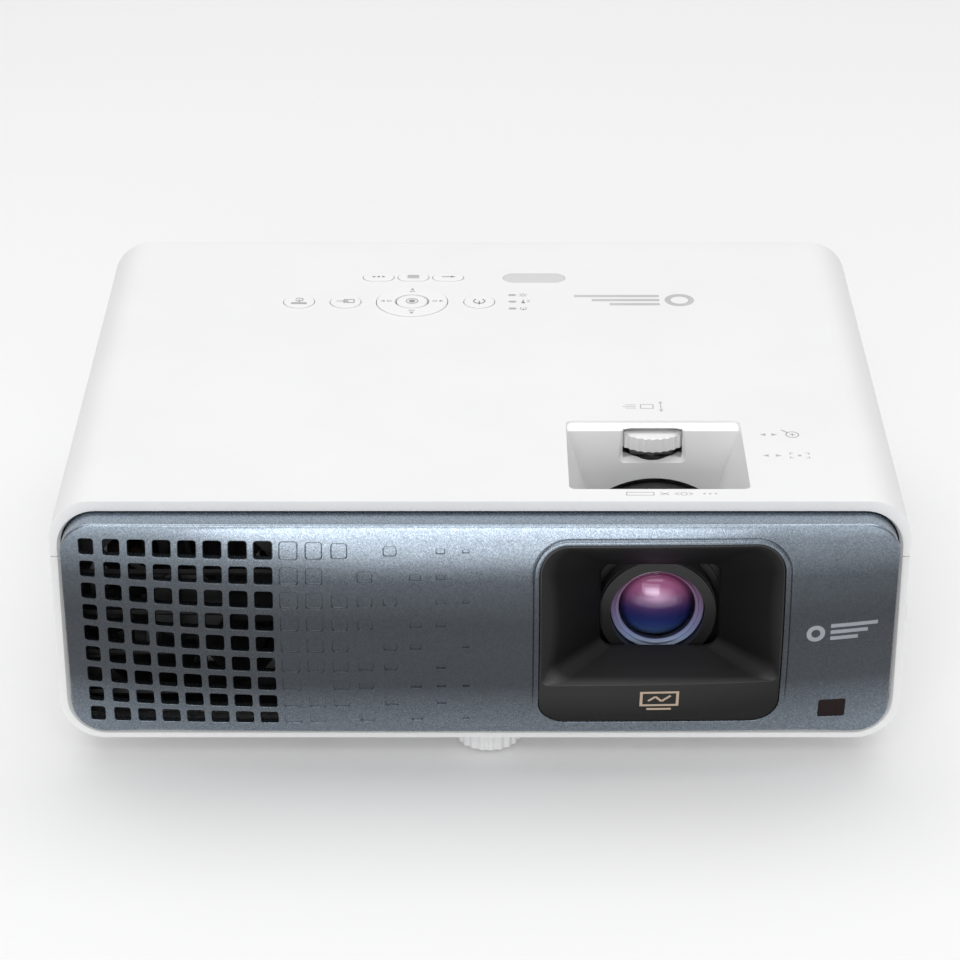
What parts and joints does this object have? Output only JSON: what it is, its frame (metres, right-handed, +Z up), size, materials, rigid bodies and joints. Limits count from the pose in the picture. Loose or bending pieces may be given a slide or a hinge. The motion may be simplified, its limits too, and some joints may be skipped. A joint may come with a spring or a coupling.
{
  "type": "home projector",
  "caption": "Compact home projector with a white two-part casing, a metallic domed front panel with vent holes, a black lens hood, a lens shift dial, keypad and screw feet.",
  "frame": {"origin": "under the middle of the object's box, on the surface the feet stand on", "axes": "+X to the right seen from the front, +Y from the lens towards the back, +Z up"},
  "size_m": [0.3046, 0.2522, 0.1085],
  "materials": {
    "white_shell": "fine moulded texture, neutral white",
    "panel_metallic": "blue-grey metallic paint, satin",
    "hood_black": "satin black",
    "inner_black": "matt black moulded",
    "ir_window": "dark red infrared window",
    "grey_window": "light grey infrared window",
    "light_pipe": "frosted light pipe",
    "key_white": "fine matt white",
    "key_frame": "natural moulded",
    "board_green": "green solder mask",
    "die_cast": "die-cast, bead blasted",
    "fin_aluminium": "mill finish fins",
    "copper_pipe": "sintered heat pipe",
    "insert_brass": "turned brass",
    "steel": "zinc plated",
    "barrel_black": "satin black lens barrel",
    "coated_glass": "coated optical glass",
    "phosphor": "phosphor coated mirror disc",
    "connector_panel": "dark grey textured",
    "connector_metal": "nickel plated shells",
    "foot_rubber": "soft grey rubber"
  },
  "bodies": {
    "root": {"top_cover": "white_shell", "bottom_case": "white_shell", "front_panel": "panel_metallic", "vent_louvres": "inner_black", "lens_hood": "hood_black", "front_ir_window": "ir_window", "top_ir_window": "grey_window", "light_pipes": "light_pipe", "keypad_board": "board_green", "rear_panel": "connector_panel", "hdmi_sockets": "connector_metal", "usb_socket": "connector_metal", "audio_jack": "connector_panel", "serial_connector": "connector_metal", "mains_inlet": "connector_panel", "main_board": "board_green", "power_board": "board_green", "engine_housing": "die_cast", "image_chip_board": "board_green", "image_chip_sink": "fin_aluminium", "laser_module": "die_cast", "laser_heat_sink": "fin_aluminium", "heat_pipes": "copper_pipe", "exhaust_fan_frame": "inner_black", "intake_fan_frame": "inner_black", "blower_housing": "inner_black", "speaker": "inner_black", "case_screws": "steel", "mount_inserts": "insert_brass", "intake_grille": "white_shell", "side_catch": "white_shell", "guide_rods": "steel", "lens_bracket": "die_cast"},
    "lens_shift": {"lens_carriage": "die_cast", "lens_barrel": "barrel_black"},
    "shift_dial": {"shift_dial": "key_white"},
    "zoom_ring": {"zoom_ring": "barrel_black"},
    "zoom_cell": {"zoom_cell": "barrel_black"},
    "focus_ring": {"focus_ring": "barrel_black"},
    "focus_cell": {"focus_cell": "barrel_black", "front_lens": "coated_glass"},
    "ring_carrier": {"ring_carrier": "key_frame"},
    "nav_ring": {"nav_ring": "key_white"},
    "exhaust_rotor": {"exhaust_fan_rotor": "inner_black"},
    "intake_rotor": {"intake_fan_rotor": "inner_black"},
    "blower_wheel": {"blower_wheel": "inner_black"},
    "phosphor_wheel": {"phosphor_wheel": "phosphor"},
    "front_foot_pad": {"front_foot_pad": "foot_rubber"},
    "front_foot": {"front_foot": "key_white"},
    "rear_foot_pad_left": {"rear_foot_pad_left": "foot_rubber"},
    "rear_foot_left": {"rear_foot_left": "key_white"},
    "rear_foot_pad_right": {"rear_foot_pad_right": "foot_rubber"},
    "rear_foot_right": {"rear_foot_right": "key_white"},
    "power_key": {"power_key": "key_white"},
    "ok_key": {"ok_key": "key_white"},
    "source_key": {"source_key": "key_white"},
    "eco_key": {"eco_key": "key_white"},
    "mode_key": {"mode_key": "key_white"},
    "menu_key": {"menu_key": "key_white"},
    "back_key": {"back_key": "key_white"}
  },
  "joints": [
    {"name": "power_key_press", "type": "slide", "parent": "root", "child": "power_key", "axis": [0, 0, -1], "range_m": [0, 0.0006], "stiffness_N_per_m": 600},
    {"name": "ok_key_press", "type": "slide", "parent": "root", "child": "ok_key", "axis": [0, 0, -1], "range_m": [0, 0.0006], "stiffness_N_per_m": 600},
    {"name": "source_key_press", "type": "slide", "parent": "root", "child": "source_key", "axis": [0, 0, -1], "range_m": [0, 0.0006], "stiffness_N_per_m": 600},
    {"name": "eco_key_press", "type": "slide", "parent": "root", "child": "eco_key", "axis": [0, 0, -1], "range_m": [0, 0.0006], "stiffness_N_per_m": 600},
    {"name": "mode_key_press", "type": "slide", "parent": "root", "child": "mode_key", "axis": [0, 0, -1], "range_m": [0, 0.0006], "stiffness_N_per_m": 600},
    {"name": "menu_key_press", "type": "slide", "parent": "root", "child": "menu_key", "axis": [0, 0, -1], "range_m": [0, 0.0006], "stiffness_N_per_m": 600},
    {"name": "back_key_press", "type": "slide", "parent": "root", "child": "back_key", "axis": [0, 0, -1], "range_m": [0, 0.0006], "stiffness_N_per_m": 600},
    {"name": "ring_tilt_side", "type": "hinge", "parent": "root", "child": "ring_carrier", "pos_m": [-0.0271, 0.0624, 0.1012], "axis": [0, 1, 0], "range_deg": [-1.5, 1.5], "stiffness_Nm_per_rad": 0.12},
    {"name": "ring_tilt_front", "type": "hinge", "parent": "ring_carrier", "child": "nav_ring", "pos_m": [-0.0271, 0.0624, 0.1012], "axis": [1, 0, 0], "range_deg": [-1.5, 1.5], "stiffness_Nm_per_rad": 0.12},
    {"name": "lens_shift", "type": "slide", "parent": "root", "child": "lens_shift", "axis": [0, 0, 1], "range_m": [-0.0008, 0.0008]},
    {"name": "shift_dial_turn", "type": "hinge", "parent": "root", "child": "shift_dial", "pos_m": [0.0635, -0.0376, 0.1008], "axis": [0, 0, 1], "range_deg": [-288, 288]},
    {"name": "zoom_turn", "type": "hinge", "parent": "lens_shift", "child": "zoom_ring", "pos_m": [0.0645, -0.058, 0.053], "axis": [0, 1, 0], "range_deg": [-20, 20]},
    {"name": "zoom_travel", "type": "slide", "parent": "lens_shift", "child": "zoom_cell", "axis": [0, 1, 0], "range_m": [-0.004, 0.004]},
    {"name": "focus_turn", "type": "hinge", "parent": "lens_shift", "child": "focus_ring", "pos_m": [0.0645, -0.077, 0.053], "axis": [0, 1, 0], "range_deg": [-45, 45]},
    {"name": "focus_travel", "type": "slide", "parent": "lens_shift", "child": "focus_cell", "axis": [0, 1, 0], "range_m": [-0.001, 0.001]},
    {"name": "exhaust_spin", "type": "hinge", "parent": "root", "child": "exhaust_rotor", "pos_m": [-0.1065, -0.082, 0.057], "axis": [0, 1, 0], "continuous": true},
    {"name": "intake_spin", "type": "hinge", "parent": "root", "child": "intake_rotor", "pos_m": [0.133, 0, 0.051], "axis": [1, 0, 0], "continuous": true},
    {"name": "blower_spin", "type": "hinge", "parent": "root", "child": "blower_wheel", "pos_m": [0.014, 0.078, 0.079], "axis": [0, 0, 1], "continuous": true},
    {"name": "phosphor_spin", "type": "hinge", "parent": "root", "child": "phosphor_wheel", "pos_m": [0.0138, 0.012, 0.052], "axis": [1, 0, 0], "continuous": true},
    {"name": "front_foot_extend", "type": "slide", "parent": "root", "child": "front_foot_pad", "axis": [0, 0, -1], "range_m": [0, 0.01]},
    {"name": "front_foot_turn", "type": "hinge", "parent": "front_foot_pad", "child": "front_foot", "pos_m": [0.0032, -0.0915, 0.005], "axis": [0, 0, 1], "range_deg": [0, 1440]},
    {"name": "rear_foot_left_extend", "type": "slide", "parent": "root", "child": "rear_foot_pad_left", "axis": [0, 0, -1], "range_m": [0, 0.005]},
    {"name": "rear_foot_left_turn", "type": "hinge", "parent": "rear_foot_pad_left", "child": "rear_foot_left", "pos_m": [-0.118, 0.098, 0.005], "axis": [0, 0, 1], "range_deg": [0, 720]},
    {"name": "rear_foot_right_extend", "type": "slide", "parent": "root", "child": "rear_foot_pad_right", "axis": [0, 0, -1], "range_m": [0, 0.005]},
    {"name": "rear_foot_right_turn", "type": "hinge", "parent": "rear_foot_pad_right", "child": "rear_foot_right", "pos_m": [0.118, 0.098, 0.005], "axis": [0, 0, 1], "range_deg": [0, 720]}
  ],
  "couplings": [
    {"joint": "shift_dial_turn", "follows": "lens_shift", "rad_per_m": 6282.6},
    {"joint": "zoom_travel", "follows": "zoom_turn", "m_per_rad": 0.011448},
    {"joint": "focus_travel", "follows": "focus_turn", "m_per_rad": 0.001272},
    {"joint": "front_foot_turn", "follows": "front_foot_extend", "rad_per_m": 2513.3},
    {"joint": "rear_foot_left_turn", "follows": "rear_foot_left_extend", "rad_per_m": 2513.3},
    {"joint": "rear_foot_right_turn", "follows": "rear_foot_right_extend", "rad_per_m": 2513.3}
  ]
}
